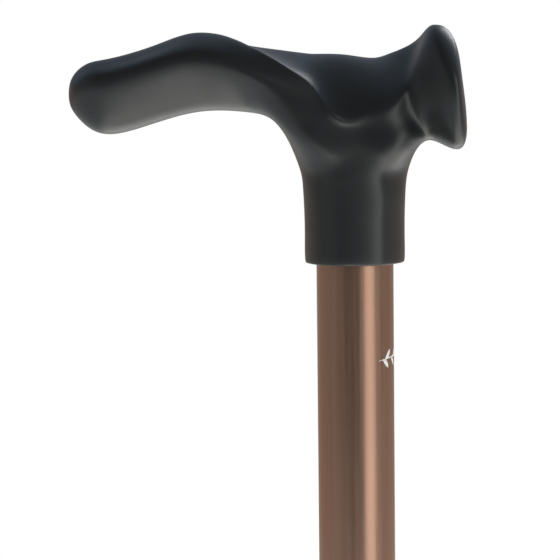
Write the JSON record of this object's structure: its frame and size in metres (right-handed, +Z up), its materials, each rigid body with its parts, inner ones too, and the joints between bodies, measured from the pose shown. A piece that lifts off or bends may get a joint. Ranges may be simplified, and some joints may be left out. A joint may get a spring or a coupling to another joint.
{
  "type": "quad walking cane",
  "caption": "Height-adjustable quad walking cane with an anatomical left-hand palm handle, a bronze telescopic shaft and a low black base with rubber-tipped legs.",
  "frame": {"origin": "centre of the footprint of the four rubber tips, on the floor", "axes": "+Z up along the shaft, -X forwards (the handle's nose), -Y to the cane's outer side, +Y towards the user"},
  "size_m": [0.21, 0.165, 0.8651],
  "materials": {
    "moulded_black": "satin moulded plastic, near black",
    "bronze_anodised": "satin bronze anodised, drawn tube",
    "black_plastic": "fine-textured moulded plastic",
    "grey_nylon": "plain moulded nylon",
    "black_powder_coat": "semi-matt powder coat",
    "black_rubber": "matt moulded rubber",
    "zinc_plated_steel": "bright zinc plating",
    "spring_steel": "blued strip"
  },
  "bodies": {
    "stand": {"base_hub": "black_powder_coat", "leg_front_outer": "black_powder_coat", "leg_front_inner": "black_powder_coat", "leg_rear_outer": "black_powder_coat", "leg_rear_inner": "black_powder_coat", "leg_screw_front_outer": "zinc_plated_steel", "leg_screw_front_inner": "zinc_plated_steel", "leg_screw_rear_outer": "zinc_plated_steel", "leg_screw_rear_inner": "zinc_plated_steel", "tip_front_outer": "black_rubber", "tip_front_inner": "black_rubber", "tip_rear_outer": "black_rubber", "tip_rear_inner": "black_rubber", "tip_disc_front_outer": "zinc_plated_steel", "tip_disc_front_inner": "zinc_plated_steel", "tip_disc_rear_outer": "zinc_plated_steel", "tip_disc_rear_inner": "zinc_plated_steel", "cross_bolt": "zinc_plated_steel", "bolt_nut": "zinc_plated_steel", "bolt_washer_front": "zinc_plated_steel", "bolt_washer_rear": "zinc_plated_steel", "lower_tube": "bronze_anodised", "guide_plug": "grey_nylon", "button_spring": "spring_steel"},
    "upper_shaft": {"handle": "moulded_black", "handle_plug": "grey_nylon", "handle_screw": "zinc_plated_steel", "upper_tube": "bronze_anodised", "collar_sleeve": "black_plastic"},
    "button": {"snap_button": "zinc_plated_steel"},
    "thrust_ring": {"collar_ring": "grey_nylon"},
    "hand_nut": {"collar_nut": "black_plastic"}
  },
  "joints": [
    {"name": "height_slide", "type": "slide", "parent": "stand", "child": "upper_shaft", "axis": [0, 0, 1], "range_m": [-0.114, 0.114]},
    {"name": "button_press", "type": "slide", "parent": "stand", "child": "button", "axis": [0, 1, 0], "range_m": [0, 0.0035], "stiffness_N_per_m": 2500, "springref_m": -0.0012, "deforming": ["button_spring"]},
    {"name": "collar_travel", "type": "slide", "parent": "upper_shaft", "child": "thrust_ring", "axis": [0, 0, -1], "range_m": [0, 0.00064]},
    {"name": "collar_turn", "type": "hinge", "parent": "thrust_ring", "child": "hand_nut", "pos_m": [0, 0.022, 0.306], "axis": [0, 0, -1], "range_deg": [0, 150]}
  ],
  "couplings": [
    {"joint": "collar_travel", "follows": "collar_turn", "m_per_rad": 0.00023873}
  ]
}
